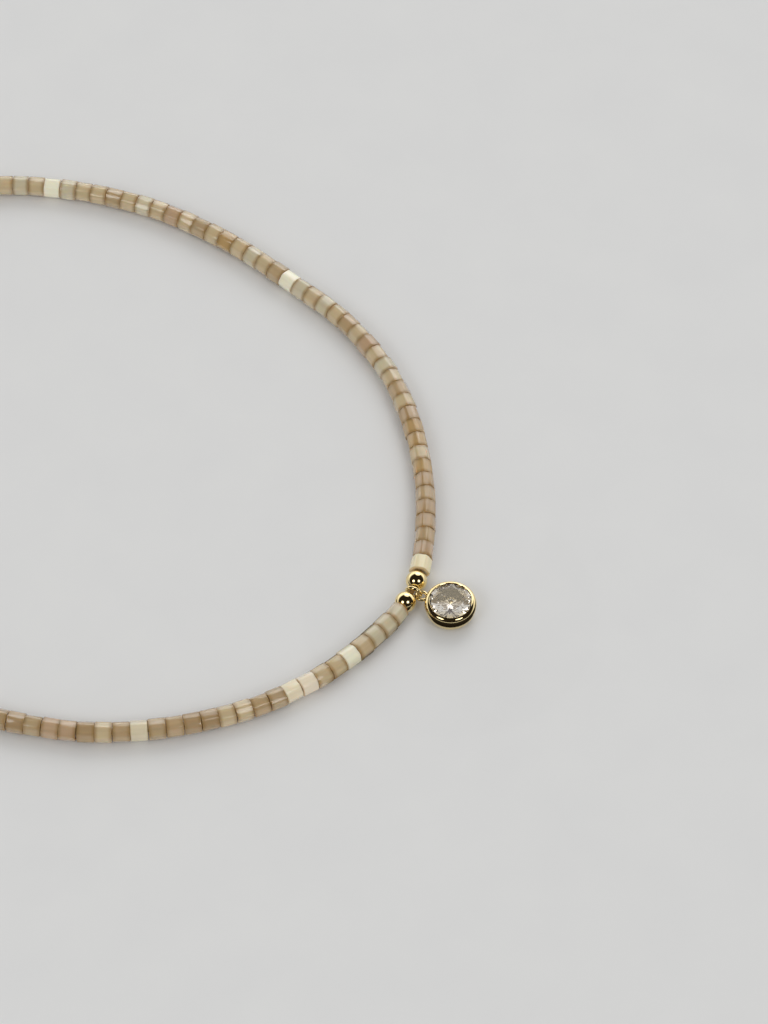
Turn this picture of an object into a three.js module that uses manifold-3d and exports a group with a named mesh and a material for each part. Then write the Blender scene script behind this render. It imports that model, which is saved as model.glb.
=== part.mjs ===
// A slim bracelet: hexagonal glass beads on a stretch thread, closed by two gold balls and a jump
// ring from which a round bezel charm with a brilliant-cut stone hangs. It lies on a flat surface.
// Units are millimetres, with +Z up. X and Y have their origin in the middle of the whole piece,
// and Z at the surface that it lies on.

import * as THREE from "three";
import { ConvexGeometry } from "three/addons/geometries/ConvexGeometry.js";
import { mergeVertices } from "three/addons/utils/BufferGeometryUtils.js";
import Module from "manifold-3d";

const wasm = await Module();
wasm.setup();

// ---------------------------------------------------------------- driving dimensions

const BEAD = { acrossCorners: 1.88, length: 1.26, bore: 0.84, neck: 1.3, sides: 6 };
const LONGEST_RUN = 8; // beads joined along the thread in one solid
const END_GAP = 0.05; // between one solid on the thread and the next
const THREAD = { diameter: 0.42, sides: 8, steps: 64, height: 0.96 };
const BALL = { diameter: 1.74, bore: 0.8, spacing: 2.28, arcSteps: 8, sides: 12 };
const JUMP_RING = { inside: 0.84, wire: 0.34, outward: 0.17, height: 0.92, sides: 8, steps: 20 };
const LOOP = {
  inside: 0.54,
  wire: 0.25,
  stretch: 1.15, // length over width, as the loop is drawn out towards the cup
  outward: 0.86,
  height: 0.84,
  sides: 8,
  steps: 16,
};
const CHARM = {
  diameter: 4.2, // over the widest part of the cup
  base: 2.6, // flat that it rests on
  belly: 1.35, // height at which the cup is widest
  rimHeight: 1.86,
  lip: 3.42, // opening over the stone
  wall: 0.14, // floor of the cup
  seatGap: 0.07, // round the stone's girdle
  lipGap: 0.12, // from the girdle up to the lip
  ledge: 0.1, // from the girdle down to the foot of the seat
  hollow: { radius: 1.14, floor: 0.3 }, // half way down, and at the floor
  fromLoop: 2.59, // middle of the loop to the middle of the cup
  swing: -3, // degrees that the charm lies off the ring's outward line
  sides: 24,
};
const STONE = {
  diameter: 3.54,
  girdle: 0.06,
  pavilionAngle: 38,
  crownAngle: 31,
  table: 0.6, // corners of the table, as a share of the girdle's radius
  star: 0.8, // where two kite facets and two girdle facets meet
  lowerHalf: 0.22, // where two pavilion mains and two lower facets meet
  clearance: 0.06, // from the tip of the stone to the floor of the cup
};

// The lie of the thread, seen from above: its distance from the middle at each bearing. The first
// row is the jump ring, and the rows go round anticlockwise, about 15 degrees apart.
const LIE = [
  { bearing: -25.6, radius: 30.25 },
  { bearing: -11, radius: 28.99 },
  { bearing: 4, radius: 27.88 },
  { bearing: 19, radius: 27.19 },
  { bearing: 34, radius: 26.45 },
  { bearing: 49, radius: 25.85 },
  { bearing: 64, radius: 26.58 },
  { bearing: 79, radius: 28.06 },
  { bearing: 94, radius: 29.91 },
  { bearing: 109, radius: 31.9 },
  { bearing: 124, radius: 32.0 },
  { bearing: 139, radius: 31.4 },
  { bearing: 154, radius: 30.6 },
  { bearing: 169, radius: 29.9 },
  { bearing: 184, radius: 29.3 },
  { bearing: 199, radius: 28.6 },
  { bearing: 214, radius: 27.6 },
  { bearing: 229, radius: 26.6 },
  { bearing: 244, radius: 26.0 },
  { bearing: 259, radius: 25.98 },
  { bearing: 274, radius: 26.71 },
  { bearing: 289, radius: 27.52 },
  { bearing: 304, radius: 28.61 },
  { bearing: 319, radius: 29.58 },
];

// The beads in the order of the thread, from the jump ring round to the jump ring.
const STRAND = [
  { glass: "cream", count: 1 },
  { glass: "taupe", count: 23 },
  { glass: "cream", count: 1 },
  { glass: "taupe", count: 16 },
  { glass: "cream", count: 1 },
  { glass: "taupe", count: 12 },
  { glass: "cream", count: 1 },
  { glass: "taupe", count: 15 },
  { glass: "cream", count: 1 },
  { glass: "taupe", count: 15 },
  { glass: "cream", count: 1 },
  { glass: "taupe", count: 21 },
  { glass: "cream", count: 1 },
  { glass: "taupe", count: 8 },
  { glass: "cream", count: 2 },
  { glass: "taupe", count: 2 },
  { glass: "cream", count: 1 },
  { glass: "taupe", count: 4 },
];

const FINISHES = {
  taupe: { color: 0xb09a79, roughness: 0.3, metalness: 0 },
  cream: { color: 0xf3ead4, roughness: 0.3, metalness: 0 },
  thread: { color: 0x9c7c52, roughness: 0.5, metalness: 0 },
  gold: { color: 0xd9a950, roughness: 0.15, metalness: 1 },
  stone: { color: 0xf2f0ea, roughness: 0.05, metalness: 0 },
};

// ---------------------------------------------------------------- the thread's line

const radians = THREE.MathUtils.degToRad;

const line = new THREE.CatmullRomCurve3(
  LIE.map(({ bearing, radius }) => new THREE.Vector3(
    radius * Math.cos(radians(bearing)),
    radius * Math.sin(radians(bearing)),
    THREAD.height,
  )),
  true,
  "centripetal",
);
line.arcLengthDivisions = 2400;
const lineLength = line.getLength();

// Where the thread is at a distance along it: its middle, its direction and the outward side.
function stationAt(distance) {
  const share = THREE.MathUtils.euclideanModulo(distance / lineLength, 1);
  const along = line.getTangentAt(share);
  return {
    middle: line.getPointAt(share),
    along,
    outward: new THREE.Vector3(along.y, -along.x, 0).normalize(),
  };
}

// ---------------------------------------------------------------- skins and solids

// Points of a regular polygon square to the thread, `shift` further on along its direction.
function polygonAt(station, radius, sides, turn = 0, shift = 0) {
  const points = [];
  for (let i = 0; i < sides; i++) {
    const angle = turn + (2 * Math.PI * i) / sides;
    points.push(
      station.middle
        .clone()
        .addScaledVector(station.along, shift)
        .addScaledVector(station.outward, radius * Math.cos(angle))
        .add(new THREE.Vector3(0, 0, radius * Math.sin(angle))),
    );
  }
  return points;
}

// The closed surface through polygons of equal count that follow one another back to the first.
function ringSkin(polygons) {
  const sides = polygons[0].length;
  const index = [];
  for (let ring = 0; ring < polygons.length; ring++) {
    const next = (ring + 1) % polygons.length;
    for (let side = 0; side < sides; side++) {
      const after = (side + 1) % sides;
      const [a, b] = [ring * sides + side, next * sides + side];
      const [c, d] = [ring * sides + after, next * sides + after];
      index.push(a, b, c, c, b, d);
    }
  }
  return new THREE.BufferGeometry().setFromPoints(polygons.flat()).setIndex(index);
}

// A three.js geometry as a manifold solid.
function solidOf(geometry) {
  const bare = geometry.clone();
  bare.deleteAttribute("normal");
  bare.deleteAttribute("uv");
  const merged = mergeVertices(bare, 1e-4);
  return new wasm.Manifold(new wasm.Mesh({
    numProp: 3,
    vertProperties: merged.attributes.position.array,
    triVerts: new Uint32Array(merged.index.array),
  }));
}

// A manifold solid as a three.js geometry.
function geometryOf(solid) {
  const mesh = solid.getMesh();
  return new THREE.BufferGeometry()
    .setAttribute("position", new THREE.BufferAttribute(mesh.vertProperties, 3))
    .setIndex(new THREE.BufferAttribute(mesh.triVerts, 1));
}

// A profile of [radius, height] pairs turned about Z into a closed solid standing on +Z.
function turned(profile, sides) {
  const points = profile.map(([radius, height]) => new THREE.Vector2(radius, height));
  return new THREE.LatheGeometry(points, sides).rotateX(Math.PI / 2);
}

function pieceOf(name, geometry, finish) {
  const mesh = new THREE.Mesh(geometry, new THREE.MeshStandardMaterial(FINISHES[finish]));
  mesh.name = name;
  return mesh;
}

// ---------------------------------------------------------------- beads and thread

// Each bead sits turned about the thread by its own amount, up to a sixth of a turn.
function beadTurn(number) {
  return radians((number * 23) % (360 / BEAD.sides));
}

// Beads joined along the thread in one solid, with a groove between each two and a bore for the
// thread. The first bead's number and the distance of its near face give the place.
function beadRun(firstNumber, start, pitch, count) {
  const outside = [];
  const bore = [];
  const corner = BEAD.acrossCorners / 2;
  const addGroove = (distance, turn) => {
    outside.push(polygonAt(stationAt(distance), BEAD.neck / 2, BEAD.sides, turn));
    bore.unshift(polygonAt(stationAt(distance), BEAD.bore / 2, BEAD.sides));
  };
  for (let i = 0; i < count; i++) {
    const near = start + i * pitch;
    const turn = beadTurn(firstNumber + i);
    const before = i === 0 ? turn : (turn + beadTurn(firstNumber + i - 1)) / 2;
    addGroove(i === 0 ? near + END_GAP / 2 : near, before);
    const middle = stationAt(near + pitch / 2);
    outside.push(polygonAt(middle, corner, BEAD.sides, turn, -BEAD.length / 2));
    outside.push(polygonAt(middle, corner, BEAD.sides, turn, BEAD.length / 2));
  }
  addGroove(start + count * pitch - END_GAP / 2, beadTurn(firstNumber + count - 1));
  return ringSkin([...outside, ...bore]);
}

// All the beads, shared out evenly between the two gold balls.
function strandPieces() {
  const ballHalf = Math.sqrt((BALL.diameter / 2) ** 2 - (BALL.bore / 2) ** 2);
  const start = BALL.spacing / 2 + ballHalf + END_GAP / 2;
  const total = STRAND.reduce((sum, row) => sum + row.count, 0);
  const pitch = (lineLength - 2 * start) / total;
  const pieces = [];
  const made = { taupe: 0, cream: 0 };
  let number = 0;
  for (const { glass, count } of STRAND) {
    const runs = glass === "cream" ? count : Math.ceil(count / LONGEST_RUN);
    for (let run = 0; run < runs; run++) {
      const beads = Math.round((count * (run + 1)) / runs) - Math.round((count * run) / runs);
      made[glass] += 1;
      const label = glass === "cream" ? "cream_bead" : "taupe_beads";
      const name = `${label}_${String(made[glass]).padStart(2, "0")}`;
      const geometry = beadRun(number, start + number * pitch, pitch, beads);
      pieces.push(pieceOf(name, geometry, glass));
      number += beads;
    }
  }
  return pieces;
}

// The stretch thread, one closed loop through every bore.
function threadPiece() {
  const polygons = [];
  for (let step = 0; step < THREAD.steps; step++) {
    const station = stationAt((lineLength * step) / THREAD.steps);
    polygons.push(polygonAt(station, THREAD.diameter / 2, THREAD.sides));
  }
  return pieceOf("thread", ringSkin(polygons), "thread");
}

// ---------------------------------------------------------------- gold fittings

// A hollow gold ball with its bore along +Z.
function ballGeometry() {
  const radius = BALL.diameter / 2;
  const bore = BALL.bore / 2;
  const open = Math.asin(bore / radius);
  const profile = [];
  for (let step = 0; step <= BALL.arcSteps; step++) {
    const angle = open + ((Math.PI - 2 * open) * step) / BALL.arcSteps;
    profile.push([radius * Math.sin(angle), -radius * Math.cos(angle)]);
  }
  profile.push(profile[0]);
  return turned(profile, BALL.sides);
}

function ballPiece(name, distance) {
  const station = stationAt(distance);
  const ball = pieceOf(name, ballGeometry(), "gold");
  ball.quaternion.setFromUnitVectors(new THREE.Vector3(0, 0, 1), station.along);
  ball.position.copy(station.middle);
  return ball;
}

// A ring of round wire in the XY plane about the origin.
function wireRing({ inside, wire, sides, steps }) {
  return new THREE.TorusGeometry((inside + wire) / 2, wire / 2, sides, steps);
}

// The jump ring, upright and square to the thread. Its own +X points outward.
function jumpRingPiece() {
  const ring = pieceOf("jump_ring", wireRing(JUMP_RING), "gold");
  ring.rotation.x = Math.PI / 2;
  ring.position.set(JUMP_RING.outward, 0, JUMP_RING.height);
  return ring;
}

// ---------------------------------------------------------------- charm

const stoneRadius = STONE.diameter / 2;
const crownSlope = Math.tan(radians(STONE.crownAngle));
const pavilionSlope = Math.tan(radians(STONE.pavilionAngle));
const tipHeight = CHARM.wall + STONE.clearance;
const girdleBottom = tipHeight + stoneRadius * pavilionSlope;
const girdleTop = girdleBottom + STONE.girdle;

// The round bezel: a bowl on a flat base that swells to its belly and closes over the stone in one
// rounded rim, with a seat for the girdle under the lip.
function cupGeometry() {
  const widest = CHARM.diameter / 2;
  const base = CHARM.base / 2;
  const lip = CHARM.lip / 2;
  const seat = stoneRadius + CHARM.seatGap;
  const lipBottom = girdleTop + CHARM.lipGap;
  const profile = [[0, 0]];
  for (const angle of [0, 25, 50, 75].map(radians)) {
    profile.push([
      base + (widest - base) * Math.sin(angle),
      CHARM.belly * (1 - Math.cos(angle)),
    ]);
  }
  for (const angle of [0, 20, 40, 60, 80].map(radians)) {
    profile.push([
      lip + (widest - lip) * Math.cos(angle),
      CHARM.belly + (CHARM.rimHeight - CHARM.belly) * Math.sin(angle),
    ]);
  }
  profile.push(
    [lip, lipBottom],
    [seat, lipBottom],
    [seat, girdleBottom - CHARM.ledge],
    [CHARM.hollow.radius, (CHARM.wall + girdleBottom) / 2],
    [CHARM.hollow.floor, CHARM.wall],
    [0, CHARM.wall],
  );
  return turned(profile, CHARM.sides);
}

// The cup and its soldered loop, in the charm's own frame: the loop's middle is the origin in
// X and Y, and the cup lies towards +X.
function bezelPiece() {
  const cup = solidOf(cupGeometry().translate(CHARM.fromLoop, 0, 0));
  const loop = solidOf(wireRing(LOOP).scale(LOOP.stretch, 1, 1).translate(0, 0, LOOP.height));
  return pieceOf("bezel", geometryOf(cup.add(loop)), "gold");
}

// A round brilliant: an eight-sided table, kite, star and girdle facets, and a pointed pavilion.
function stonePiece() {
  const points = [new THREE.Vector3(0, 0, tipHeight)];
  const corner = STONE.table * stoneRadius;
  const half = Math.cos(Math.PI / 8);
  const star = STONE.star * stoneRadius;
  const lower = STONE.lowerHalf * stoneRadius;
  const crown = girdleTop + (stoneRadius - corner) * crownSlope;
  const addPoint = (radius, angle, height) => {
    points.push(new THREE.Vector3(radius * Math.cos(angle), radius * Math.sin(angle), height));
  };
  for (let i = 0; i < 8; i++) {
    const main = (Math.PI / 4) * i;
    const between = main + Math.PI / 8;
    addPoint(corner, main, crown);
    addPoint(star, between, crown - (star * half - corner) * crownSlope);
    addPoint(lower, between, tipHeight + lower * half * pavilionSlope);
    for (const angle of [main, between]) {
      addPoint(stoneRadius, angle, girdleTop);
      addPoint(stoneRadius, angle, girdleBottom);
    }
  }
  const stone = pieceOf("stone", new ConvexGeometry(points), "stone");
  stone.position.x = CHARM.fromLoop;
  return stone;
}

// ---------------------------------------------------------------- the whole bracelet

const strand = new THREE.Group();
strand.add(threadPiece(), ...strandPieces());
strand.add(ballPiece("gold_ball_1", BALL.spacing / 2), ballPiece("gold_ball_2", -BALL.spacing / 2));

const charm = new THREE.Group();
charm.add(bezelPiece(), stonePiece());
charm.position.x = LOOP.outward;
charm.rotation.z = radians(CHARM.swing);

const pendant = new THREE.Group();
const link = stationAt(0);
pendant.position.set(link.middle.x, link.middle.y, 0);
pendant.rotation.z = Math.atan2(link.outward.y, link.outward.x);
pendant.add(jumpRingPiece(), charm);

const lying = new THREE.Group();
lying.add(strand, pendant);
const box = new THREE.Box3().setFromObject(lying, true);
const middle = box.getCenter(new THREE.Vector3());
lying.position.set(-middle.x, -middle.y, -box.min.z);

const group = new THREE.Group();
group.add(lying);

export default group;
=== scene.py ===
"""Looks of a slim beaded stretch bracelet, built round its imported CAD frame.

The bracelet is a closed loop of small hexagonal glass beads on an elastic thread. At one place the
thread carries two polished gold balls with a jump ring between them, and on the ring hangs a round
gold bezel with a clear brilliant-cut stone. Everything is in metres, in the frame's own axes.
"""

import logging
import math
from bisect import bisect_right
from collections.abc import Iterator
from dataclasses import dataclass, field
from enum import Enum

import bmesh
import bpy
from bmesh.types import BMesh, BMVert
from bpy.types import ID, Material, Node, NodeSocket, NodeTree, Object
from mathutils import Matrix, Vector


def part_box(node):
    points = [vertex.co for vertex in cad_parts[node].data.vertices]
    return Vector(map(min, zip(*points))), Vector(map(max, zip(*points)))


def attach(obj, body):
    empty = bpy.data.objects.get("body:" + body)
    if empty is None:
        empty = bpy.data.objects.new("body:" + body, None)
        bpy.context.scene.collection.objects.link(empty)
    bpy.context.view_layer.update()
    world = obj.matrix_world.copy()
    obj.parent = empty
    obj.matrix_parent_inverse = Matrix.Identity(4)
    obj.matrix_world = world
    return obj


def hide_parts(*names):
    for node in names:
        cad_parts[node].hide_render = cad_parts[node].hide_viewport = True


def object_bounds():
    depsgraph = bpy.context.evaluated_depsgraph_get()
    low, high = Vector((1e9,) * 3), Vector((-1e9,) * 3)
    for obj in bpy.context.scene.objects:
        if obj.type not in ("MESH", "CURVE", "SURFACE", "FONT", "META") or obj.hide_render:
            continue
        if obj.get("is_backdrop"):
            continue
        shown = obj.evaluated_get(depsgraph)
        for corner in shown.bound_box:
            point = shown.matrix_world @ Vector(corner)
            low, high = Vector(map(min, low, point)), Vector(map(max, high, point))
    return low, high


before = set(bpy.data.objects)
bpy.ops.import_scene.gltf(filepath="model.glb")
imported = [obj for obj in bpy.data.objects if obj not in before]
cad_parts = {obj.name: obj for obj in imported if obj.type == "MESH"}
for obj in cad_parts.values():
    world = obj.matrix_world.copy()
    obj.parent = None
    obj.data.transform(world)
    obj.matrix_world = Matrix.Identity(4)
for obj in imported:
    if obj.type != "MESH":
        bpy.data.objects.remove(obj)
CAD_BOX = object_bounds()

log = logging.getLogger("bracelet")

MM = 0.001
TURN = 2 * math.pi
SIDES = 6  # of a bead
NOISE_RANGE = (0.3, 0.7)  # where most of a noise pattern's values lie
BODY = "root"

Pair = tuple[float, float]


# ---- small tools


def linear(hex_colour: str) -> tuple[float, float, float, float]:
    """Turns an sRGB hex colour into Blender's linear colour.

    Args:
        hex_colour: The colour as "#rrggbb".

    Returns:
        Red, green, blue and an alpha of 1.
    """
    parts = [int(hex_colour[i : i + 2], 16) / 255 for i in (1, 3, 5)]
    red, green, blue = (c / 12.92 if c <= 0.04045 else ((c + 0.055) / 1.055) ** 2.4 for c in parts)
    return red, green, blue, 1.0


def add_node(
    tree: NodeTree, kind: str, inputs: dict[str | int, object] | None = None, **settings: object
) -> Node:
    """Adds one node with its settings, values and links.

    Args:
        tree: The node tree that gets the node.
        kind: The node's type name.
        inputs: What each input takes, by name or number. An output socket, or a node for its
            first output, is linked, and anything else becomes the input's own value.
        settings: Properties of the node itself.

    Returns:
        The new node.
    """
    node = tree.nodes.new(kind)
    for name, value in settings.items():
        setattr(node, name, value)
    for key, value in (inputs or {}).items():
        if isinstance(value, Node):
            value = value.outputs[0]
        if isinstance(value, NodeSocket):
            tree.links.new(value, node.inputs[key])
        else:
            node.inputs[key].default_value = value
    return node


def in_scene(name: str, data: ID) -> Object:
    """Makes an object and puts it in the scene.

    Args:
        name: The object's name.
        data: Its mesh, light or camera.

    Returns:
        The object, at the origin.
    """
    thing = bpy.data.objects.new(name, data)
    bpy.context.scene.collection.objects.link(thing)
    return thing


def mesh_object(name: str, shape: BMesh, sharp_deg: float = 30.0) -> Object:
    """Turns a finished shape into a smooth-shaded object that faces outwards.

    Args:
        name: The piece's name.
        shape: The shape, which is freed.
        sharp_deg: Edges that turn by more than this stay sharp.

    Returns:
        The object, linked to the scene.
    """
    bmesh.ops.recalc_face_normals(shape, faces=shape.faces)
    mesh = bpy.data.meshes.new(name)
    shape.to_mesh(mesh)
    shape.free()
    mesh.shade_smooth()
    mesh.set_sharp_from_angle(angle=math.radians(sharp_deg))
    return in_scene(name, mesh)


def baked(name: str, source: Object) -> Object:
    """Replaces an object with modifiers by a plain object of the same shape.

    Args:
        name: The new object's name.
        source: The object to bake, which is removed.

    Returns:
        The plain object, with no modifiers.
    """
    bpy.context.view_layer.update()
    graph = bpy.context.evaluated_depsgraph_get()
    mesh = bpy.data.meshes.new_from_object(source.evaluated_get(graph), depsgraph=graph)
    bpy.data.objects.remove(source)
    mesh.name = name
    return in_scene(name, mesh)


def middle_of(node: str) -> Vector:
    """Gives the middle of a CAD node's box."""
    low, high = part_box(node)
    return (low + high) / 2


def turned(profile: list[Pair], segments: int, closed: bool) -> BMesh:
    """Turns a profile of radius and height about Z.

    Args:
        profile: Pairs of radius and height in metres. A radius of zero makes a pole.
        segments: Steps of the full turn.
        closed: Whether the last point joins the first, as on a ball with a bore.

    Returns:
        The closed shape.
    """
    shape = bmesh.new()
    rings: list[list[BMVert]] = []
    for radius, height in profile:
        count = segments if radius > 0 else 1
        angles = [TURN * i / count for i in range(count)]
        places = [(radius * math.cos(a), radius * math.sin(a), height) for a in angles]
        rings.append([shape.verts.new(place) for place in places])
    pairs = list(zip(rings, rings[1:]))
    if closed:
        pairs.append((rings[-1], rings[0]))
    for low, high in pairs:
        for i in range(segments):
            j = (i + 1) % segments
            corners = [low[i % len(low)], low[j % len(low)], high[j % len(high)], high[i % len(high)]]
            shape.faces.new(list(dict.fromkeys(corners)))
    return shape


def wire_ring(across: float, wire: float, steps: int, sides: int) -> BMesh:
    """Makes a ring of round wire in the XY plane.

    Args:
        across: Diameter between the wire's middles.
        wire: The wire's diameter.
        steps: Steps round the ring.
        sides: Steps round the wire.

    Returns:
        The closed shape.
    """
    profile = arc((across / 2, 0.0), (wire / 2, wire / 2), (0.0, 360.0), sides)[:-1]
    return turned(profile, steps, closed=True)


def arc(centre: Pair, reach: Pair, span_deg: Pair, steps: int) -> list[Pair]:
    """Lists points along part of an ellipse in a profile.

    Args:
        centre: The ellipse's middle as radius and height.
        reach: Its half-sizes across and up.
        span_deg: The first and last angle, from outwards towards up.
        steps: Steps along it.

    Returns:
        Pairs of radius and height.
    """
    first, last = (math.radians(a) for a in span_deg)
    angles = [first + (last - first) * i / steps for i in range(steps + 1)]
    return [(centre[0] + reach[0] * math.cos(a), centre[1] + reach[1] * math.sin(a)) for a in angles]


# ---- finishes


def clouded(
    tree: NodeTree, tones: tuple[str, str], cloud_mm: float, detail: float
) -> tuple[NodeSocket, NodeSocket]:
    """Lets two tones run into each other in soft clouds.

    Args:
        tree: The material's tree.
        tones: The two colours, as hex.
        cloud_mm: How broad a cloud is.
        detail: How far the clouds are broken up.

    Returns:
        The sockets of the clouds, from 0 to 1, and of the colour.
    """
    place = add_node(tree, "ShaderNodeTexCoord").outputs["Object"]
    clouds = add_node(
        tree, "ShaderNodeTexNoise", {"Vector": place, "Scale": 1 / (cloud_mm * MM), "Detail": detail}
    ).outputs["Fac"]
    colour = add_node(
        tree, "ShaderNodeMix", {0: clouds, 6: linear(tones[0]), 7: linear(tones[1])}, data_type="RGBA"
    ).outputs[2]
    return clouds, colour


def ends(middle: float, spread: float) -> dict[str, float]:
    """Gives the ends that a pattern moves a value between, for a map range."""
    return {"To Min": middle * (1 - spread), "To Max": middle * (1 + spread)}


@dataclass(frozen=True)
class Finish:
    """How a piece is finished. It is named for its material and how the surface was made."""

    name: str

    def look(self, tree: NodeTree) -> dict[str, object]:
        """Adds the finish's patterns.

        Args:
            tree: The material's tree.

        Returns:
            What each input of the surface takes.
        """
        raise NotImplementedError

    def material(self) -> Material:
        """Builds the material.

        Returns:
            The material.
        """
        material = bpy.data.materials.new(self.name)
        material.use_nodes = True
        tree = material.node_tree
        tree.nodes.clear()
        surface = add_node(tree, "ShaderNodeBsdfPrincipled", self.look(tree))
        add_node(tree, "ShaderNodeOutputMaterial", {"Surface": surface})
        return material


@dataclass(frozen=True)
class SatinGlass(Finish):
    """Cut seed-bead glass with a silky body, slightly see-through. Towards both ends its colour darkens
    to a brown tint: painted seam shade, and on half-clear glass also the brown cord seen through it.

    The glass was drawn with fine air lines in it, so light runs along the bead in pale streaks, and
    it was tumbled after cutting, which leaves flat facets with soft bright edges.
    """

    clearness: float  # share of light that goes straight on into the glass
    streak_contrast: float
    roughness: float
    # Painted seam shade: towards both ends a bead darkens to a brown tint, the shade of the seams
    # between beads, and on half-clear glass also the brown cord seen through it.
    end_shade_strength: float
    end_shade_start: float  # share of the way from the bead's middle to its end
    end_shade_full: float = 0.97
    end_shade_tint: str = "#c29c62"
    glow: float = 0.5  # share that wanders in the glass before it comes out
    glow_mm: float = 0.6
    glow_reach: tuple[float, float, float] = (1.0, 0.75, 0.5)  # of red, green and blue light
    refraction: float = 1.52
    polish: float = 0.8  # share of the surface that kept its fire polish
    polish_roughness: float = 0.06
    roughness_spread: float = 0.3  # from bead to bead
    streak_mm: float = 0.22  # the air lines are finer, and are drawn this coarse so that they show
    streak_length_mm: float = 4.0
    cloud_mm: float = 0.9
    key_stride: float = 40.0  # carries one bead's pattern well away from the next one's

    def shade(self, tree: NodeTree, place: NodeSocket, key: NodeSocket) -> Node:
        """Draws the air lines and the clouds.

        Args:
            tree: The material's tree.
            place: The place in the bead.
            key: The bead's own number, from 0 to 1.

        Returns:
            The node of a factor about 1.
        """
        along, across, cloud = (
            1 / (size * MM) for size in (self.streak_length_mm, self.streak_mm, self.cloud_mm)
        )
        stretch = {"Vector": place, "Scale": (along, across, across)}
        lines = add_node(tree, "ShaderNodeMapping", stretch)
        shift = add_node(tree, "ShaderNodeMath", {0: key, 1: self.key_stride}, operation="MULTIPLY")
        factors = []
        for vector, scale, detail, contrast in (
            (lines, 1.0, 0.0, self.streak_contrast),
            (place, cloud, 1.0, self.streak_contrast / 2),
        ):
            noise = add_node(
                tree,
                "ShaderNodeTexNoise",
                {"Vector": vector, "W": shift, "Scale": scale, "Detail": detail},
                noise_dimensions="4D",
            )
            limits = {"From Min": NOISE_RANGE[0], "From Max": NOISE_RANGE[1], **ends(1, contrast)}
            factors.append(add_node(tree, "ShaderNodeMapRange", {"Value": noise, **limits}))
        return add_node(tree, "ShaderNodeMath", dict(enumerate(factors)), operation="MULTIPLY")

    def look(self, tree: NodeTree) -> dict[str, object]:
        """Adds the glass's patterns, from the bead's own tint, key, place and distance along it.

        Args:
            tree: The material's tree.

        Returns:
            What each input of the surface takes.
        """
        tint, key, along, place = (
            add_node(tree, "ShaderNodeAttribute", attribute_name=name).outputs
            for name in ("tint", "bead_key", "along", "bead_place")
        )
        body = add_node(
            tree,
            "ShaderNodeVectorMath",
            {0: tint["Color"], "Scale": self.shade(tree, place["Vector"], key["Fac"])},
            operation="SCALE",
        )
        # Painted seam shade: the colour darkens towards the brown tint near both ends.
        end = add_node(tree, "ShaderNodeMath", {0: along["Fac"]}, operation="ABSOLUTE")
        limits = {"From Min": self.end_shade_start, "From Max": self.end_shade_full}
        end_shade = add_node(
            tree,
            "ShaderNodeMapRange",
            {"Value": end, **limits, "To Max": self.end_shade_strength},
            interpolation_type="SMOOTHSTEP",
        )
        colour = add_node(
            tree, "ShaderNodeMix", {0: end_shade, 6: body, 7: linear(self.end_shade_tint)}, data_type="RGBA"
        )
        reach = ends(self.roughness, self.roughness_spread)
        return {
            "Base Color": colour.outputs[2],
            "Roughness": add_node(tree, "ShaderNodeMapRange", {"Value": key["Fac"], **reach}),
            "IOR": self.refraction,
            "Transmission Weight": self.clearness,
            "Subsurface Weight": self.glow,
            "Subsurface Radius": self.glow_reach,
            "Subsurface Scale": self.glow_mm * MM,
            "Coat Weight": self.polish,
            "Coat Roughness": self.polish_roughness,
        }


@dataclass(frozen=True)
class PolishedGold(Finish):
    """Brass, barrel-polished and gold-plated: a mirror with a faint ripple left by the tumbling."""

    name: str = "polished_gold_plate"
    tones: tuple[str, str] = ("#fdeab6", "#f6dda0")
    roughness: float = 0.05
    roughness_spread: float = 0.5
    ripple_mm: float = 0.35
    ripple_detail: float = 2.0
    ripple_height_mm: float = 0.002

    def look(self, tree: NodeTree) -> dict[str, object]:
        """Adds the plate's ripple.

        Args:
            tree: The material's tree.

        Returns:
            What each input of the surface takes.
        """
        ripple, colour = clouded(tree, self.tones, self.ripple_mm, self.ripple_detail)
        height = {"Height": ripple, "Distance": self.ripple_height_mm * MM}
        reach = ends(self.roughness, self.roughness_spread)
        return {
            "Base Color": colour,
            "Metallic": 1.0,
            "Roughness": add_node(tree, "ShaderNodeMapRange", {"Value": ripple, **reach}),
            "Normal": add_node(tree, "ShaderNodeBump", height),
        }


@dataclass(frozen=True)
class CutZirconia(Finish):
    """Brilliant-cut cubic zirconia with a silvered back, polished.

    The hard flat facets bend light strongly, and the silver below the girdle sends all of it back
    up, so the stone looks grey and white and doesn't show the gold of its cup. Its mirror reflections
    are tinted champagne: a painted reflection.
    """

    name: str = "brilliant_cut_zirconia"
    silvered_below: float = 0.0  # the girdle's height
    tones: tuple[str, str] = ("#ffffff", "#f8f3ea")
    haze_mm: float = 1.2
    haze_detail: float = 1.0
    reflection_tint: str = "#dccaa2"  # painted reflection: a champagne tint on what its top mirrors
    clearness: float = 0.9
    refraction: float = 2.16

    def look(self, tree: NodeTree) -> dict[str, object]:
        """Adds the stone's faint haze, its silver and the painted champagne tint of its reflections.

        Args:
            tree: The material's tree.

        Returns:
            What each input of the surface takes.
        """
        _, colour = clouded(tree, self.tones, self.haze_mm, self.haze_detail)
        place = add_node(tree, "ShaderNodeTexCoord").outputs["Object"]
        height = add_node(tree, "ShaderNodeSeparateXYZ", {0: place}).outputs["Z"]
        silvered = add_node(
            tree, "ShaderNodeMath", {0: height, 1: self.silvered_below}, operation="LESS_THAN"
        )
        return {
            "Base Color": colour,
            "Metallic": silvered,
            "Roughness": 0.0,
            "IOR": self.refraction,
            # Painted reflection: the stone's mirror reflections are tinted champagne.
            "Specular Tint": linear(self.reflection_tint),
            "Transmission Weight": self.clearness,
        }


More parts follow.
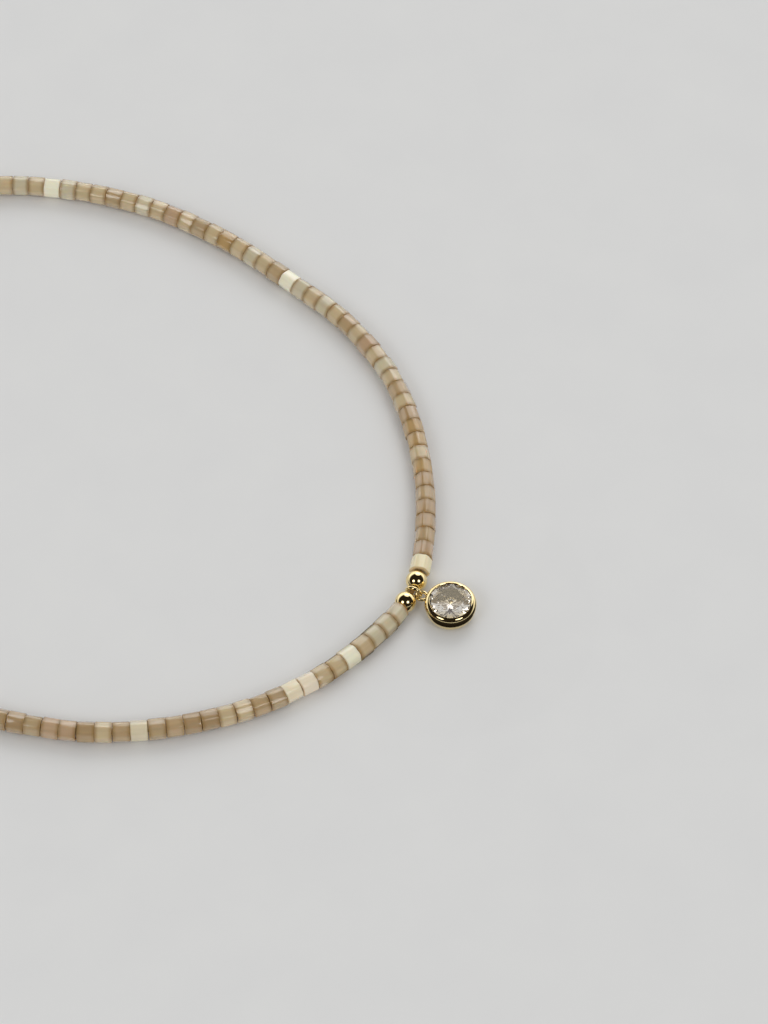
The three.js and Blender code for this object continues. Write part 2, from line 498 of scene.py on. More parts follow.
@dataclass(frozen=True)
class PlainFinish(Finish):
    """A plain finish whose colour wanders softly between two tones."""

    tones: tuple[str, str]
    roughness: float
    cloud_mm: float = 6.0
    cloud_detail: float = 0.0
    glow: float = 0.0
    glow_mm: float = 0.3

    def look(self, tree: NodeTree) -> dict[str, object]:
        """Adds the clouds.

        Args:
            tree: The material's tree.

        Returns:
            What each input of the surface takes.
        """
        return {
            "Base Color": clouded(tree, self.tones, self.cloud_mm, self.cloud_detail)[1],
            "Roughness": self.roughness,
            "Subsurface Weight": self.glow,
            "Subsurface Scale": self.glow_mm * MM,
        }


# Half-clear glass: light soaks in. Its ends darken to brown: painted seam shade, together with the
# brown cord seen through the glass.
TAUPE_GLASS = SatinGlass(
    name="taupe_satin_glass",
    clearness=0.45,
    streak_contrast=0.04,
    roughness=0.12,
    end_shade_strength=0.75,
    end_shade_start=0.5,
)
# Opaque glass with a fired lustre: pale and softly shining. Its rims darken to brown: painted seam
# shade.
CREAM_GLASS = SatinGlass(
    name="cream_lustred_glass",
    clearness=0.0,
    streak_contrast=0.03,
    roughness=0.16,
    end_shade_strength=0.5,
    end_shade_start=0.85,
)
# Extruded elastic cord is smooth and a little glossy, and handling darkens it in soft bands.
STRETCH_CORD = PlainFinish(
    name="extruded_elastic_cord",
    tones=("#c09a5e", "#a07a42"),
    roughness=0.4,
    cloud_mm=0.8,
    cloud_detail=2.0,
    glow=0.2,
)
# Uncoated stock is matt, with a faint cloudiness.
MATT_BOARD = PlainFinish(
    name="uncoated_pale_board",
    tones=("#e9e9e8", "#e4e4e4"),
    roughness=0.7,
    cloud_detail=3.0,
)
# Dull black card swallows most of the light, and is even, so its two tones are one. Only mirror
# reflections see it, so it paints a dark reflection into the gold.
REFLECTION_ONLY_CARD = PlainFinish(
    name="reflection_only_black_card",
    tones=("#1c120b", "#1c120b"),
    roughness=0.9,
)


# ---- the thread's line


@dataclass
class Station:
    """A place on the thread: its middle, its direction and the outward side."""

    middle: Vector
    along: Vector
    outward: Vector


@dataclass
class ThreadLine:
    """The thread's middle line, read from the CAD thread and started at the jump ring."""

    steps_between: int = 24
    top_depth: float = 0.01 * MM  # a ring's topmost corner lies no further under the thread's top
    same_spot: float = 0.1 * MM
    points: list[Vector] = field(default_factory=list)
    reached: list[float] = field(default_factory=list)

    def __post_init__(self) -> None:
        """Reads the rings of the CAD thread and joins their middles by one smooth closed curve."""
        link = middle_of("jump_ring")
        corners = self.tops()
        first = min(range(len(corners)), key=lambda i: (corners[i] - link).length)
        corners = corners[first:] + corners[:first]
        count = len(corners)
        for i in range(count):
            around = [corners[(i + k) % count] for k in (-1, 0, 1, 2)]
            shares = [step / self.steps_between for step in range(self.steps_between)]
            self.points += [self.between(around, share) for share in shares]
        self.reached = [0.0]
        for here, there in zip(self.points, self.points[1:] + self.points[:1]):
            self.reached.append(self.reached[-1] + (there - here).length)

    def tops(self) -> list[Vector]:
        """Finds the thread's middles, which lie under the topmost corner of each of its rings.

        Returns:
            The middles, anticlockwise seen from above.
        """
        low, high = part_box("thread")
        seen: dict[tuple[int, int], Vector] = {}
        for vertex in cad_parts["thread"].data.vertices:
            x, y, z = vertex.co
            if z > high.z - self.top_depth:
                key = (round(x / self.same_spot), round(y / self.same_spot))
                seen[key] = Vector((x, y, (low.z + high.z) / 2))
        return sorted(seen.values(), key=lambda p: math.atan2(p.y, p.x))

    @staticmethod
    def between(around: list[Vector], share: float) -> Vector:
        """Gives a point of the smooth curve between the middle two of four points.

        Args:
            around: Four points that follow one another.
            share: How far between the second and the third, from 0 to 1.

        Returns:
            The point.
        """
        before, start, end, after = around
        return 0.5 * (
            2 * start
            + (end - before) * share
            + (2 * before - 5 * start + 4 * end - after) * share**2
            + (3 * start - before - 3 * end + after) * share**3
        )

    @property
    def length(self) -> float:
        """Length of the whole thread."""
        return self.reached[-1]

    def at(self, distance: float) -> Station:
        """Finds a place on the thread.

        Args:
            distance: How far along from the jump ring, anticlockwise. It may be negative.

        Returns:
            The place.
        """
        distance %= self.length
        low = bisect_right(self.reached, distance) - 1
        here, there = self.points[low], self.points[(low + 1) % len(self.points)]
        step = self.reached[low + 1] - self.reached[low]
        middle = here.lerp(there, (distance - self.reached[low]) / step)
        along = (self.points[(low + 2) % len(self.points)] - self.points[low - 1]).normalized()
        return Station(middle, along, Vector((along.y, -along.x, 0)).normalized())


# ---- beads


class Glass(Enum):
    """The two kinds of bead glass."""

    TAUPE = "taupe"
    CREAM = "cream"


class Tint(Enum):
    """Tones of the glass, each with its letter, a capital for cream glass, and its colour.

    The light and pale tones also serve as painted sheen, on beads made lighter where they catch the
    light.
    """

    DARK = "d", "#d6ba90"
    BROWN = "b", "#dcbd90"
    GOLDEN = "g", "#e5c48c"
    TAUPE = "t", "#e4c99f"
    OLIVE = "o", "#e2caa2"
    ROSE = "r", "#e8caa6"
    # Light and pale: beads of a lighter tone, and beads made lighter as painted sheen.
    LIGHT = "l", "#f9e1b9"
    PALE_AND_SHEEN = "p", "#ffeecf"
    WHITE = "W", "#fff3d8"
    SOFT_CREAM = "S", "#f6e6c0"
    ROSE_CREAM = "R", "#f6e4cc"
    BEIGE_CREAM = "B", "#f4e4c6"
    ICE = "I", "#e2d5b8"

    def __init__(self, letter: str, colour: str) -> None:
        """Splits a tone into its letter and its colour, and finds its glass."""
        self.letter, self.colour = letter, colour
        self.glass = Glass.CREAM if letter.isupper() else Glass.TAUPE


# The beads from the jump ring round to it again, anticlockwise, each under its tone's letter.
# The many l and p letters in the first three runs, round the right-hand and far arcs, and in the last
# four by the jump ring are partly painted sheen: beads made lighter where the strand catches the
# light, as well as their own lighter tone.
STRAND = (
    "SrtbbtbglggbltlplrltlplpWolplglolrlplollpWlpltlrtllotoWtltgorbttlgrdtoW"
    "rtogltbtrdtlgtoWtgrtolbtdtgrtddorrdltIotddlltoBRllWlppp"
)


@dataclass
class Bead:
    """One bead on the thread."""

    tint: Tint
    station: Station
    turn: float


@dataclass
class BeadStrand:
    """All the glass beads, cut as short hexagonal tubes and threaded end to end."""

    line: ThreadLine
    end_gap: float = 0.05 * MM
    across_corners: float = 1.88 * MM
    length: float = 1.38 * MM
    bore: float = 0.84 * MM
    corner_softening: float = 0.16 * MM
    end_rounding: float = 0.06 * MM
    size_spread: float = 0.05
    sway: float = 0.02 * MM
    tilt_deg: float = 1.5
    turn_step_deg: float = 23.0
    seed: int = 11
    join_within: float = 0.002 * MM
    facet_weight: int = 50

    def beads(self) -> Iterator[Bead]:
        """Lists the beads with their places.

        Yields:
            Each bead in the order of the thread.
        """
        ball_half = math.sqrt((GoldBalls.across / 2) ** 2 - (GoldBalls.bore / 2) ** 2)
        start = GoldBalls.spacing / 2 + ball_half + self.end_gap / 2
        tints = {tint.letter: tint for tint in Tint}
        pitch = (self.line.length - 2 * start) / len(STRAND)
        for number, letter in enumerate(STRAND):
            station = self.line.at(start + (number + 0.5) * pitch)
            turn = math.radians((number * self.turn_step_deg) % (360 / SIDES))
            yield Bead(tints[letter], station, turn)

    def points(self, glass: Glass) -> Object:
        """Makes one point for each bead of a glass, with what the tree needs to know of it.

        Args:
            glass: Which beads.

        Returns:
            An object of loose points.
        """
        beads = [bead for bead in self.beads() if bead.tint.glass is glass]
        mesh = bpy.data.meshes.new(f"{glass.value}_places")
        mesh.from_pydata([bead.station.middle for bead in beads], [], [])
        for name, kind, key, values in (
            ("thread_direction", "FLOAT_VECTOR", "vector", [c for b in beads for c in b.station.along]),
            ("bead_turn", "FLOAT", "value", [bead.turn for bead in beads]),
            ("tint", "FLOAT_COLOR", "color", [c for b in beads for c in linear(b.tint.colour)]),
        ):
            mesh.attributes.new(name, kind, "POINT").data.foreach_set(key, values)
        return in_scene(mesh.name, mesh)

    def bead_shape(self, tree: NodeTree, sizes: dict[str, NodeSocket]) -> Node:
        """Adds the nodes that bend a small grid into one hexagonal bead about X.

        The grid's columns go round the bead, two to each softened corner, and its rows go along
        the outside, down one end, back through the bore and up the other end. The sums are listed
        in order, each with its name, its kind and what it takes: a number, a size or an earlier
        sum.

        Args:
            tree: The strand's tree.
            sizes: The tree's inputs.

        Returns:
            The node that holds the bead's mesh.
        """
        row_choices = {
            "onward": ("back", "back", "back shoulder", "shoulder", "half", "half", "back"),
            "reach": ("hole", "lip", "outer", "outer", "lip", "hole", "hole"),
            "width": ("even", "spread", "spread", "spread", "spread", "even", "even"),
        }
        rows = len(row_choices["reach"])
        half_side = TURN / (2 * SIDES)
        outline_sums = (
            ("columns passed", "DIVIDE", "index", float(rows)),
            ("column", "FLOOR", "columns passed"),
            ("points passed", "MULTIPLY", "column", float(rows)),
            ("row", "SUBTRACT", "index", "points passed"),
            ("corners passed", "DIVIDE", "column", 2.0),
            ("corner", "FLOOR", "corners passed"),
            ("corner's column", "MULTIPLY", "corner", 2.0),
            ("past the corner", "SUBTRACT", "column", "corner's column"),
            ("side", "SUBTRACT", "past the corner", 0.5),
            ("corner's angle", "MULTIPLY", "corner", 2 * half_side),
            ("half", "DIVIDE", "Length", 2.0),
            ("back", "MULTIPLY", "half", -1.0),
            ("shoulder", "SUBTRACT", "half", "End rounding"),
            ("back shoulder", "MULTIPLY", "shoulder", -1.0),
            ("radius", "DIVIDE", "Across corners", 2.0),
            ("depth", "MULTIPLY", "Corner softening", math.sin(half_side)),
            ("inner", "SUBTRACT", "radius", "depth"),
            ("cut", "MULTIPLY", "Corner softening", math.cos(half_side)),
            ("inner squared", "POWER", "inner", 2.0),
            ("cut squared", "POWER", "cut", 2.0),
            ("outer squared", "ADD", "inner squared", "cut squared"),
            ("outer", "SQRT", "outer squared"),
            ("lip", "SUBTRACT", "outer", "End rounding"),
            ("hole", "DIVIDE", "Bore", 2.0),
            ("half spread", "ARCTAN2", "cut", "inner"),
            ("spread", "MULTIPLY", "half spread", 2.0),
            ("even", "ADD", half_side, 0.0),
        )
        place_sums = (
            ("off the corner", "MULTIPLY", "side", "width"),
            ("angle", "ADD", "corner's angle", "off the corner"),
            ("cosine", "COSINE", "angle"),
            ("sine", "SINE", "angle"),
            ("across", "MULTIPLY", "reach", "cosine"),
            ("up", "MULTIPLY", "reach", "sine"),
        )
        known: dict[object, object] = {**sizes, "index": add_node(tree, "GeometryNodeInputIndex")}
        for sums, choices in ((outline_sums, row_choices), (place_sums, {})):
            for name, operation, *taken in sums:
                terms = {i: known.get(term, term) for i, term in enumerate(taken)}
                known[name] = add_node(tree, "ShaderNodeMath", terms, operation=operation)
            for name, options in choices.items():
                switch = add_node(
                    tree, "GeometryNodeIndexSwitch", {"Index": known["row"]}, data_type="FLOAT"
                )
                while len(switch.index_switch_items) < rows:
                    switch.index_switch_items.new()
                for i, option in enumerate(options):
                    tree.links.new(known[option].outputs[0], switch.inputs[i + 1])
                known[name] = switch

        grid = add_node(tree, "GeometryNodeMeshGrid", {"Vertices X": 2 * SIDES + 1, "Vertices Y": rows})
        corner = {i: known[name] for i, name in enumerate(("onward", "across", "up"))}
        spot = add_node(tree, "ShaderNodeCombineXYZ", corner)
        bent = add_node(tree, "GeometryNodeSetPosition", {"Geometry": grid, "Position": spot})
        bead = add_node(
            tree, "GeometryNodeMergeByDistance", {"Geometry": bent, "Distance": self.join_within}
        )
        here = add_node(tree, "GeometryNodeInputPosition")
        along = add_node(tree, "ShaderNodeSeparateXYZ", {0: here})
        share = add_node(tree, "ShaderNodeMath", {0: along, 1: known["half"]}, operation="DIVIDE")
        for name, kind, value in (("bead_place", "FLOAT_VECTOR", here), ("along", "FLOAT", share)):
            bead = add_node(
                tree,
                "GeometryNodeStoreNamedAttribute",
                {"Geometry": bead, "Name": name, "Value": value},
                data_type=kind,
                domain="POINT",
            )
        return bead

    def draws(self, tree: NodeTree, sizes: dict[str, NodeSocket]) -> dict[str, NodeSocket]:
        """Adds what each bead draws at random, each with a seed of its own.

        Args:
            tree: The strand's tree.
            sizes: The tree's inputs.

        Returns:
            The sockets of the bead's key, its two tilts, its size and its sideways offset.
        """
        tilt, spread = sizes["Tilt"], sizes["Size spread"]
        other_tilt = add_node(tree, "ShaderNodeMath", {0: tilt, 1: -1.0}, operation="MULTIPLY")
        smallest = add_node(tree, "ShaderNodeMath", {0: 1.0, 1: spread}, operation="SUBTRACT")
        drawn = {}
        for name, after, least, most in (
            ("key", 0.0, 0.0, 1.0),
            ("nod", 0.0, other_tilt, tilt),
            ("swing", 1.0, other_tilt, tilt),
            ("size", 2.0, smallest, 1.0),
            ("offset", 3.0, (-1.0, -1.0, 0.0), (1.0, 1.0, 0.0)),
        ):
            seed = add_node(tree, "ShaderNodeMath", {0: sizes["Seed"], 1: after}, operation="ADD")
            kind, low, high, out = "FLOAT", 2, 3, 1
            if isinstance(least, tuple):
                kind, low, high, out = "FLOAT_VECTOR", 0, 1, 0
            limits = {low: least, high: most, "Seed": seed}
            draw = add_node(tree, "FunctionNodeRandomValue", limits, data_type=kind)
            drawn[name] = draw.outputs[out]
        return drawn

    def tree(self, name: str, values: dict[str, object]) -> NodeTree:
        """Builds the tree that threads the beads.

        Args:
            name: The tree's name.
            values: What each named input is given, which says what kind it is.

        Returns:
            The geometry node tree.
        """
        tree = bpy.data.node_groups.new(name, "GeometryNodeTree")
        kinds = {float: "Float", int: "Int", Material: "Material"}
        sockets = [("Geometry", "INPUT", "Geometry"), ("Geometry", "OUTPUT", "Geometry")]
        sockets += [(key, "INPUT", kinds[type(value)]) for key, value in values.items()]
        for key, side, kind in sockets:
            tree.interface.new_socket(key, in_out=side, socket_type=f"NodeSocket{kind}")
        sizes = {socket.name: socket for socket in add_node(tree, "NodeGroupInput").outputs}
        drawn = self.draws(tree, sizes)

        direction = add_node(
            tree, "GeometryNodeInputNamedAttribute", {0: "thread_direction"}, data_type="FLOAT_VECTOR"
        )
        turn = add_node(tree, "GeometryNodeInputNamedAttribute", {0: "bead_turn"}, data_type="FLOAT")
        aligned = add_node(
            tree,
            "FunctionNodeAxesToRotation",
            {0: direction, 1: (0.0, 0.0, 1.0)},
            primary_axis="X",
            secondary_axis="Z",
        )
        lean = add_node(tree, "ShaderNodeCombineXYZ", {0: turn, 1: drawn["nod"], 2: drawn["swing"]})
        leaning = add_node(tree, "FunctionNodeEulerToRotation", {0: lean})
        rotation = add_node(
            tree, "FunctionNodeRotateRotation", {0: aligned, 1: leaning}, rotation_space="LOCAL"
        )
        scale = add_node(tree, "ShaderNodeCombineXYZ", {0: 1.0, 1: drawn["size"], 2: drawn["size"]})
        bead = self.bead_shape(tree, sizes)
        threaded = add_node(
            tree,
            "GeometryNodeInstanceOnPoints",
            {"Points": sizes["Geometry"], "Instance": bead, "Rotation": rotation, "Scale": scale},
        )
        moved = add_node(
            tree, "ShaderNodeVectorMath", {0: drawn["offset"], "Scale": sizes["Sway"]}, operation="SCALE"
        )
        swayed = add_node(
            tree,
            "GeometryNodeTranslateInstances",
            {"Instances": threaded, "Translation": moved, "Local Space": False},
        )
        strand = add_node(
            tree,
            "GeometryNodeStoreNamedAttribute",
            {"Geometry": swayed, "Name": "bead_key", "Value": drawn["key"]},
            data_type="FLOAT",
            domain="INSTANCE",
        )
        for kind, more in (
            ("GeometryNodeRealizeInstances", {}),
            ("GeometryNodeSetShadeSmooth", {}),
            ("GeometryNodeSetMaterial", {"Material": sizes["Glass"]}),
        ):
            strand = add_node(tree, kind, {"Geometry": strand, **more})
        add_node(tree, "NodeGroupOutput", {0: strand})
        return tree

    def build(self, glass: Glass, finish: SatinGlass) -> Object:
        """Threads the beads of one glass and bakes them to one plain mesh.

        Args:
            glass: Which beads.
            finish: Their glass.

        Returns:
            The piece.
        """
        holder = self.points(glass)
        values = {
            "Across corners": self.across_corners,
            "Length": self.length,
            "Bore": self.bore,
            "Corner softening": self.corner_softening,
            "End rounding": self.end_rounding,
            "Size spread": self.size_spread,
            "Sway": self.sway,
            "Tilt": math.radians(self.tilt_deg),
            "Seed": self.seed,
            "Glass": finish.material(),
        }
        threading = holder.modifiers.new("threading", "NODES")
        threading.node_group = self.tree(f"{glass.value}_strand", values)
        for item in threading.node_group.interface.items_tree:
            if item.in_out == "INPUT" and item.name in values:
                threading[item.identifier] = values[item.name]
        flats = holder.modifiers.new("flat_facets", "WEIGHTED_NORMAL")
        flats.mode = "FACE_AREA"
        flats.weight = self.facet_weight
        return baked(f"{glass.value}_glass_beads", holder)

    def dress(self, piece: Object, glass: Glass) -> None:
        """Hangs a piece on the bracelet's body and hides the CAD beads that it stands for.

        Args:
            piece: The beads of one glass.
            glass: Which glass.
        """
        nodes = sorted(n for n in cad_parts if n.startswith(f"{glass.value}_bead"))
        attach(piece, BODY)
        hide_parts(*nodes)


# ---- gold


@dataclass
class GoldPart:
    """A sub-assembly that is plated with gold."""

    line: ThreadLine
    gold: Material

    def dress(self, piece: Object, node: str) -> None:
        """Plates a piece, hangs it on the bracelet's body and hides the CAD node that it stands for.

        Args:
            piece: The piece.
            node: The CAD node that it stands for.
        """
        piece.data.materials.clear()
        piece.data.materials.append(self.gold)
        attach(piece, BODY)
        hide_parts(node)


@dataclass
class GoldBalls(GoldPart):
    """Two seamless hollow balls, one on each side of the jump ring."""

    across: float = 1.74 * MM
    bore: float = 0.8 * MM
    spacing: float = 2.28 * MM
    lip: float = 0.05 * MM
    arc_steps: int = 20
    segments: int = 48
    sharp_deg: float = 40.0

    def build(self, name: str, distance: float) -> Object:
        """Makes one ball on the thread.

        Args:
            name: The piece's name.
            distance: Where it sits along the thread from the jump ring.

        Returns:
            The piece.
        """
        radius, hole = self.across / 2, self.bore / 2
        opening = math.degrees(math.asin((hole + self.lip) / radius))
        outside = arc((0.0, 0.0), (radius, radius), (opening - 90, 90 - opening), self.arc_steps)
        mouth = math.sqrt(radius**2 - (hole + self.lip) ** 2) - self.lip
        shape = turned([(hole, -mouth), *outside, (hole, mouth)], self.segments, closed=True)
        station = self.line.at(distance)
        turn = Vector((0, 0, 1)).rotation_difference(station.along).to_matrix().to_4x4()
        shape.transform(Matrix.Translation(station.middle) @ turn)
        return mesh_object(name, shape, self.sharp_deg)


@dataclass
class JumpRing(GoldPart):
    """The closed wire ring round the thread, upright and square to it."""

    inside: float = 0.84 * MM
    wire: float = 0.34 * MM
    steps: int = 56
    sides: int = 20
    sharp_deg: float = 60.0

    def build(self) -> Object:
        """Makes the ring at its CAD node's middle.

        Returns:
            The piece.
        """
        shape = wire_ring(self.inside + self.wire, self.wire, self.steps, self.sides)
        upright = Vector((0, 0, 1)).rotation_difference(self.line.at(0).along)
        shape.transform(Matrix.Translation(middle_of("jump_ring")) @ upright.to_matrix().to_4x4())
        return mesh_object("jump_ring_gold", shape, self.sharp_deg)


@dataclass
class Bezel(GoldPart):
    """The charm's round cup with its soldered loop, closed over the stone in one rounded rim."""

    across: float = 4.2 * MM
    base_across: float = 2.6 * MM
    belly: float = 1.35 * MM
    rim_height: float = 1.86 * MM
    lip_across: float = 3.42 * MM
    wall: float = 0.14 * MM
    stone_across: float = 3.54 * MM
    girdle: float = 0.06 * MM
    pavilion_deg: float = 38.0
    clearance: float = 0.06 * MM
    seat_gap: float = 0.07 * MM
    lip_gap: float = 0.12 * MM
    ledge: float = 0.1 * MM
    hollow: float = 1.14 * MM
    hollow_floor: float = 0.3 * MM
    bowl_deg: Pair = (-90.0, 0.0)
    rim_deg: Pair = (9.0, 84.0)
    rim_turn_in: float = 0.03 * MM  # how far the rim drops at its inner edge
    curve_steps: int = 10
    segments: int = 96
    sharp_deg: float = 35.0
    loop_inside: float = 0.54 * MM
    loop_wire: float = 0.25 * MM
    loop_stretch: float = 1.15  # length over width, as it is drawn out towards the cup
    loop_height: float = 0.84 * MM
    loop_outward: float = 0.69 * MM  # from the jump ring's middle
    loop_steps: int = 40
    loop_sides: int = 18
    loop_sharp_deg: float = 60.0

    @property
    def girdle_height(self) -> float:
        """Height of the stone's girdle."""
        slope = math.tan(math.radians(self.pavilion_deg))
        return self.wall + self.clearance + self.stone_across / 2 * slope

    def profile(self) -> list[Pair]:
        """Draws the cup's wall.

        Returns:
            Pairs of radius and height, from the base's middle round to the floor's middle.
        """
        widest, base, lip = self.across / 2, self.base_across / 2, self.lip_across / 2
        seat = self.stone_across / 2 + self.seat_gap
        girdle_low = self.girdle_height
        lip_low = girdle_low + self.girdle + self.lip_gap
        over = self.rim_height - self.belly
        bowl = arc((base, self.belly), (widest - base, self.belly), self.bowl_deg, self.curve_steps)
        rim = arc((lip, self.belly), (widest - lip, over), self.rim_deg, self.curve_steps)
        return [
            (0.0, 0.0),
            *bowl,
            *rim,
            (lip, self.rim_height - self.rim_turn_in),
            (lip, lip_low),
            (seat, lip_low),
            (seat, girdle_low - self.ledge),
            (self.hollow, (self.wall + girdle_low) / 2),
            (self.hollow_floor, self.wall),
            (0.0, self.wall),
        ]

    def build(self) -> Object:
        """Makes the cup round the stone and joins the loop to it.

        Returns:
            The piece.
        """
        middle = middle_of("stone")
        cup = turned(self.profile(), self.segments, closed=False)
        cup.transform(Matrix.Translation((middle.x, middle.y, 0)))
        piece = mesh_object("bezel_blank", cup, self.sharp_deg)
        outward = self.line.at(0).outward
        link = middle_of("jump_ring") + outward * self.loop_outward
        across = self.loop_inside + self.loop_wire
        loop = wire_ring(across, self.loop_wire, self.loop_steps, self.loop_sides)
        loop.transform(
            Matrix.Translation((link.x, link.y, self.loop_height))
            @ Matrix.Rotation(math.atan2(outward.y, outward.x), 4, "Z")
            @ Matrix.Scale(self.loop_stretch, 4, (1, 0, 0))
        )
        eye = mesh_object("loop_blank", loop, self.loop_sharp_deg)
        solder = piece.modifiers.new("solder", "BOOLEAN")
        solder.operation = "UNION"
        solder.solver = "EXACT"
        solder.object = eye
        piece = baked("bezel_gold", piece)
        bpy.data.objects.remove(eye)
        return piece


# ---- studio


@dataclass(frozen=True)
class SoftLight:
    """A far, soft, round source, as a window or a lamp with a shade is from a table."""

    name: str
    bearing_deg: float  # from the far side towards +X
    height_deg: float
    width_deg: float
    strength: float
    colour: str = "#ffffff"

    def build(self) -> None:
        """Hangs the light."""
        lamp = bpy.data.lights.new(self.name, "SUN")
        lamp.energy = self.strength
        lamp.angle = math.radians(self.width_deg)
        lamp.color = linear(self.colour)[:3]
        bearing, height = math.radians(self.bearing_deg), math.radians(self.height_deg)
        flat = math.cos(height)
        towards = Vector((math.sin(bearing) * flat, math.cos(bearing) * flat, math.sin(height)))
        holder = in_scene(self.name, lamp)
        holder.rotation_mode = "QUATERNION"
        holder.rotation_quaternion = towards.to_track_quat("Z", "Y")


@dataclass(frozen=True)
class SkyPatch:
    """A soft-edged round part of the surroundings."""

    height_deg: float  # above the near side, so that more than 90 is the far side
    core_deg: float
    edge_deg: float
    colour: str
    strength: float

    def over(self, tree: NodeTree, seen: Node) -> Node:
        """Lays the patch over what is seen behind it.

        Args:
            tree: The world's tree.
            seen: What is behind it.

        Returns:
            The node of the whole.
        """
        height = math.radians(self.height_deg)
        way = add_node(tree, "ShaderNodeTexCoord").outputs["Generated"]
        middle = (0.0, -math.cos(height), math.sin(height))
        facing = add_node(tree, "ShaderNodeVectorMath", {0: way, 1: middle}, operation="DOT_PRODUCT")
        edge, core = (math.cos(math.radians(a)) for a in (self.edge_deg, self.core_deg))
        inside = add_node(
            tree,
            "ShaderNodeMapRange",
            {"Value": facing.outputs["Value"], "From Min": edge, "From Max": core},
            interpolation_type="SMOOTHSTEP",
        )
        light = {"Color": linear(self.colour), "Strength": self.strength}
        patch = add_node(tree, "ShaderNodeBackground", light)
        return add_node(tree, "ShaderNodeMixShader", {0: inside, 1: seen, 2: patch})


@dataclass
class Studio:
    """Pale floor, pale walls, a bright far wall, a dim ceiling and three soft lights."""

    floor_reach: float = 30.0
    wall_colour: str = "#fbfbfa"
    flag_inside: float = 4.7 * MM
    flag_outside: float = 24.0 * MM
    flag_span_deg: Pair = (-205.0, 45.0)
    flag_taper_deg: float = 75.0  # its ends narrow to nothing over this much of the ring
    flag_narrowest: float = 0.999  # how far an end's inner edge goes towards the outer one
    flag_height: float = 0.02 * MM
    flag_steps: int = 32
    wall_strength: float = 1.0
    haze_strength: float = 0.56  # of the even light that matt things are lit by
    # Each patch has its height, core and edge in degrees, its colour and its strength.
    mirrored: tuple[SkyPatch, ...] = (
        SkyPatch(160, 30, 75, "#ffffff", 1.3),
        SkyPatch(56, 78, 90, "#2a2520", 0.8),
    )
    through_glass: tuple[SkyPatch, ...] = (
        SkyPatch(56, 15, 35, "#94866c", 1.0),
        SkyPatch(126, 30, 60, "#6a6064", 0.8),
    )
    # Each light has its bearing, height and width in degrees, and its strength.
    lights: tuple[SoftLight, ...] = (
        SoftLight("key_window", 15, 42, 40, 0.55),
        SoftLight("left_window", 226, 43, 24, 0.35),
        SoftLight("right_window", 141, 46, 24, 0.35),
    )

    def build(self) -> None:
        """Lays the floor, hangs the lights and surrounds them by the room."""
        shape = bmesh.new()
        bmesh.ops.create_grid(shape, x_segments=1, y_segments=1, size=self.floor_reach)
        floor = mesh_object("floor", shape)
        floor.data.materials.append(MATT_BOARD.material())
        floor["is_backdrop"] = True
        self.flag()
        for light in self.lights:
            light.build()
        self.room()

    def flag(self) -> None:
        """Lays the black card that paints a dark reflection into the near side of the bezel.

        It is part of a ring round the charm, and only mirror reflections see it.
        """
        middle = middle_of("stone")
        shape = bmesh.new()
        first, last = self.flag_span_deg
        widest = self.flag_narrowest * self.flag_outside / self.flag_inside
        rims: list[list[BMVert]] = [[], []]
        for i in range(self.flag_steps + 1):
            angle = first + (last - first) * i / self.flag_steps
            narrowed = max(0.0, 1 - min(angle - first, last - angle) / self.flag_taper_deg)
            inside = self.flag_inside * widest ** narrowed**2
            way = Vector((math.cos(math.radians(angle)), math.sin(math.radians(angle)), 0))
            for rim, across in zip(rims, (inside, self.flag_outside)):
                spot = middle + way * across / 2
                rim.append(shape.verts.new((spot.x, spot.y, self.flag_height)))
        for i in range(self.flag_steps):
            shape.faces.new((rims[0][i], rims[1][i], rims[1][i + 1], rims[0][i + 1]))
        card = mesh_object("black_card", shape)
        card.data.materials.append(REFLECTION_ONLY_CARD.material())
        for ray in ("camera", "diffuse", "transmission", "volume_scatter", "shadow"):
            setattr(card, f"visible_{ray}", False)
        card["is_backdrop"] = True

    def room(self) -> None:
        """Makes the world: a plain pale room whose patches only mirrors and glass see."""
        world = bpy.data.worlds.new("room")
        bpy.context.scene.world = world
        world.use_nodes = True
        tree = world.node_tree
        tree.nodes.clear()
        path = add_node(tree, "ShaderNodeLightPath")
        wall, seen = (
            add_node(
                tree, "ShaderNodeBackground", {"Color": linear(self.wall_colour), "Strength": strength}
            )
            for strength in (self.wall_strength, self.haze_strength)
        )
        for ray, patches in (
            ("Is Glossy Ray", self.mirrored),
            ("Is Transmission Ray", self.through_glass),
            ("Is Camera Ray", ()),
        ):
            sky = wall
            for patch in patches:
                sky = patch.over(tree, sky)
            seen = add_node(tree, "ShaderNodeMixShader", {0: path.outputs[ray], 1: seen, 2: sky})
        add_node(tree, "ShaderNodeOutputWorld", {"Surface": seen})


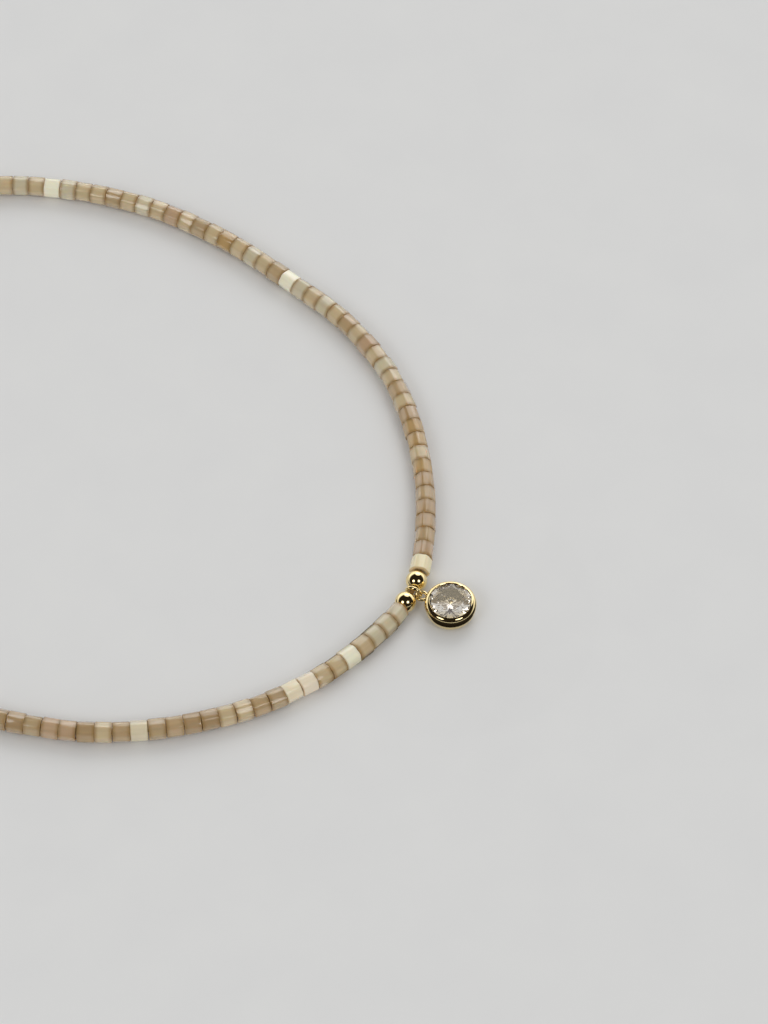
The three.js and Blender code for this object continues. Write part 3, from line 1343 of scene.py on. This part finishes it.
@dataclass
class TableCamera:
    """A long lens held over the table, looking down at the charm's half of the bracelet."""

    aim_from_loop: Pair = (25.558 * MM, -6.94 * MM)
    height_deg: float = 53.509
    distance: float = 328.11 * MM
    lens_mm: float = 140.625
    sensor_mm: float = 36.0
    nearest: float = 0.01
    farthest: float = 100.0

    def build(self) -> None:
        """Sets the scene's camera."""
        aim = middle_of("thread") + Vector((*self.aim_from_loop, 0))
        height = math.radians(self.height_deg)
        lens = bpy.data.cameras.new("table_camera")
        lens.lens = self.lens_mm
        lens.sensor_width = self.sensor_mm
        lens.clip_start = self.nearest
        lens.clip_end = self.farthest
        camera = in_scene("table_camera", lens)
        camera.location = aim + Vector((0, -math.cos(height), math.sin(height))) * self.distance
        camera.rotation_euler = (math.pi / 2 - height, 0, 0)
        bpy.context.scene.camera = camera
        bpy.context.scene.view_settings.view_transform = "Standard"


# ---- the whole bracelet


def main() -> None:
    """Builds the bracelet piece by piece, then the studio round it."""
    logging.basicConfig(level=logging.INFO, format="%(name)s: %(message)s")
    TableCamera().build()
    line = ThreadLine()
    log.info("thread line of %.2f mm", line.length / MM)

    pieces: list[Object] = []
    strand = BeadStrand(line)
    for glass, finish in ((Glass.TAUPE, TAUPE_GLASS), (Glass.CREAM, CREAM_GLASS)):
        pieces.append(strand.build(glass, finish))
        strand.dress(pieces[-1], glass)

    gold = PolishedGold().material()
    balls, ring, bezel = GoldBalls(line, gold), JumpRing(line, gold), Bezel(line, gold)
    for part, piece, node in (
        (balls, balls.build("gold_ball_1_polished", balls.spacing / 2), "gold_ball_1"),
        (balls, balls.build("gold_ball_2_polished", -balls.spacing / 2), "gold_ball_2"),
        (ring, ring.build(), "jump_ring"),
        (bezel, bezel.build(), "bezel"),
    ):
        part.dress(piece, node)
        pieces.append(piece)

    for node, material in (
        ("stone", CutZirconia(silvered_below=bezel.girdle_height).material()),
        ("thread", STRETCH_CORD.material()),
    ):
        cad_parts[node].material_slots[0].material = material
        pieces.append(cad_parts[node])
    for piece in pieces:
        log.info("%s with %d faces", piece.name, len(piece.data.polygons))

    Studio().build()
    [[list(corner) for corner in box] for box in (CAD_BOX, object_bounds())]


if __name__ == "__main__":
    main()
